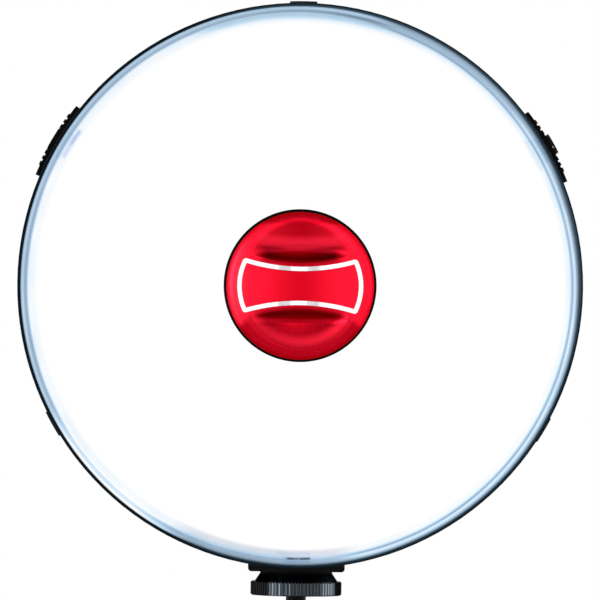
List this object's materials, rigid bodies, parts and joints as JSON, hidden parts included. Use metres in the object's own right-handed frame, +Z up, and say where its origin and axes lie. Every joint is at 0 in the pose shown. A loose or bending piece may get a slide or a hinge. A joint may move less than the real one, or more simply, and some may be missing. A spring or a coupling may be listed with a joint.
{
  "type": "on-camera led light",
  "caption": "Round on-camera LED light with a glowing disc, a red centre knob, a battery plate and a small ball head on a shoe foot.",
  "frame": {"origin": "centre of the shoe foot's underside, on the ball head's axis", "axes": "+Z up along the ball head's axis, -Y the way the lamp faces, +X to the right of a viewer who looks at the glowing disc"},
  "size_m": [0.145, 0.076, 0.1912],
  "materials": {
    "black_shell": "fine texture",
    "black_gloss": "gloss",
    "rim_gloss": "gloss",
    "clear_band": "clear, pale blue",
    "clip_clear": "clear, pale blue",
    "opal_disc": "opal, glowing",
    "white_plastic": "matte",
    "circuit_board": "solder mask",
    "white_board": "white solder mask",
    "led_phosphor": "phosphor",
    "plain_aluminium": "as extruded",
    "red_anodised": "bead blasted, anodised",
    "silver_inlay": "bright",
    "black_anodised": "anodised",
    "wheel_black": "bright anodised",
    "black_rubber": "matte",
    "steel": "plain",
    "brass": "turned",
    "display_glass": "smoked",
    "display_panel": "unlit",
    "chip_black": "moulded",
    "grey_nylon": "moulded",
    "battery_case": "fine texture"
  },
  "bodies": {
    "foot": {"shoe_foot": "black_anodised", "ball_housing": "black_anodised"},
    "lamp": {"front_bezel": "rim_gloss", "front_ring": "black_shell", "reflector_band": "clear_band", "panel_clips": "clip_clear", "diffuser_disc": "opal_disc", "light_cone": "white_plastic", "led_board": "white_board", "led_chips": "led_phosphor", "heat_sink": "plain_aluminium", "panel_screws": "steel", "centre_post": "brass", "post_screw": "steel", "left_grip_pad": "black_rubber", "left_insert": "steel", "right_grip_pad": "black_rubber", "right_insert": "steel", "right_plug": "black_anodised", "base_pad": "black_shell", "base_insert": "steel", "rear_cover": "black_shell", "case_screws": "steel", "display_window": "display_glass", "display_panel": "display_panel", "left_encoder": "chip_black", "right_encoder": "chip_black", "power_switch": "chip_black", "dc_jack": "chip_black", "driver_board": "circuit_board", "driver_screws": "steel", "driver_parts": "chip_black", "battery_plate": "black_shell", "plate_screws": "steel", "battery_contacts": "brass"},
    "shoe_pressure_washer": {"shoe_washer": "black_anodised"},
    "shoe_lock_ring": {"shoe_ring": "black_anodised"},
    "clamp_slug": {"clamp_pad": "brass"},
    "clamp_screw": {"clamp_knob": "black_gloss"},
    "ball_cup": {"ball_seat": "grey_nylon"},
    "stem": {"ball_stem": "black_anodised"},
    "stem_washer": {"friction_washer": "black_rubber"},
    "stem_wheel": {"lock_wheel": "wheel_black"},
    "knob_carrier": {"knob_washer": "black_rubber"},
    "knob": {"centre_knob": "red_anodised", "knob_border": "silver_inlay"},
    "left_control": {"left_dial": "black_gloss", "left_dial_shaft": "steel"},
    "right_control": {"right_dial": "black_gloss", "right_dial_shaft": "steel"},
    "button": {"power_button": "black_gloss"},
    "battery_pack": {"battery": "battery_case"},
    "wedge": {"battery_wedge": "grey_nylon"}
  },
  "joints": [
    {"name": "shoe_washer_slide", "type": "slide", "parent": "foot", "child": "shoe_pressure_washer", "axis": [0, 0, 1], "range_m": [-0.0015, 0]},
    {"name": "shoe_ring_turn", "type": "hinge", "parent": "shoe_pressure_washer", "child": "shoe_lock_ring", "pos_m": [0, 0, 0.0065], "axis": [0, 0, 1], "range_deg": [-540.1, 0]},
    {"name": "clamp_slug_slide", "type": "slide", "parent": "foot", "child": "clamp_slug", "axis": [1, 0, 0], "range_m": [0, 0.0012]},
    {"name": "clamp_screw_turn", "type": "hinge", "parent": "clamp_slug", "child": "clamp_screw", "pos_m": [0.017, 0, 0.023], "axis": [1, 0, 0], "range_deg": [0, 540.1]},
    {"name": "ball_pan", "type": "hinge", "parent": "foot", "child": "ball_cup", "pos_m": [0, 0, 0.023], "axis": [0, 0, 1], "continuous": true},
    {"name": "ball_tilt", "type": "hinge", "parent": "ball_cup", "child": "stem", "pos_m": [0, 0, 0.023], "axis": [1, 0, 0], "range_deg": [-38, 38]},
    {"name": "stem_washer_slide", "type": "slide", "parent": "stem", "child": "stem_washer", "axis": [0, 0, 1], "range_m": [-0.00127, 0]},
    {"name": "stem_wheel_turn", "type": "hinge", "parent": "stem_washer", "child": "stem_wheel", "pos_m": [0, 0, 0.04], "axis": [0, 0, 1], "range_deg": [-360.1, 0]},
    {"name": "lamp_swivel", "type": "hinge", "parent": "stem", "child": "lamp", "pos_m": [0, 0, 0.047], "axis": [0, 0, 1], "range_deg": [-180, 180]},
    {"name": "knob_washer_slide", "type": "slide", "parent": "lamp", "child": "knob_carrier", "axis": [0, -1, 0], "range_m": [0, 0.003]},
    {"name": "knob_turn", "type": "hinge", "parent": "knob_carrier", "child": "knob", "pos_m": [0, -0.02, 0.118], "axis": [0, -1, 0], "range_deg": [0, 1080.1]},
    {"name": "left_dial_turn", "type": "hinge", "parent": "lamp", "child": "left_control", "pos_m": [0.041, 0.02, 0.144], "axis": [0, 1, 0], "continuous": true},
    {"name": "right_dial_turn", "type": "hinge", "parent": "lamp", "child": "right_control", "pos_m": [-0.041, 0.02, 0.144], "axis": [0, 1, 0], "continuous": true},
    {"name": "button_press", "type": "slide", "parent": "lamp", "child": "button", "axis": [0, -1, 0], "range_m": [0, 0.001], "stiffness_N_per_m": 1500, "springref_m": -0.0005},
    {"name": "battery_slide", "type": "slide", "parent": "lamp", "child": "battery_pack", "axis": [0, 0, 1], "range_m": [0, 0.0065]},
    {"name": "wedge_press", "type": "slide", "parent": "lamp", "child": "wedge", "axis": [0, -1, 0], "range_m": [0, 0.0022], "stiffness_N_per_m": 900, "springref_m": -0.0015}
  ],
  "couplings": [
    {"joint": "shoe_ring_turn", "follows": "shoe_washer_slide", "rad_per_m": 6283.2},
    {"joint": "clamp_screw_turn", "follows": "clamp_slug_slide", "rad_per_m": 7854},
    {"joint": "stem_wheel_turn", "follows": "stem_washer_slide", "rad_per_m": 4947.4},
    {"joint": "knob_turn", "follows": "knob_washer_slide", "rad_per_m": 6283.2},
    {"joint": "wedge_press", "follows": "battery_slide", "ratio": 0.33846}
  ]
}
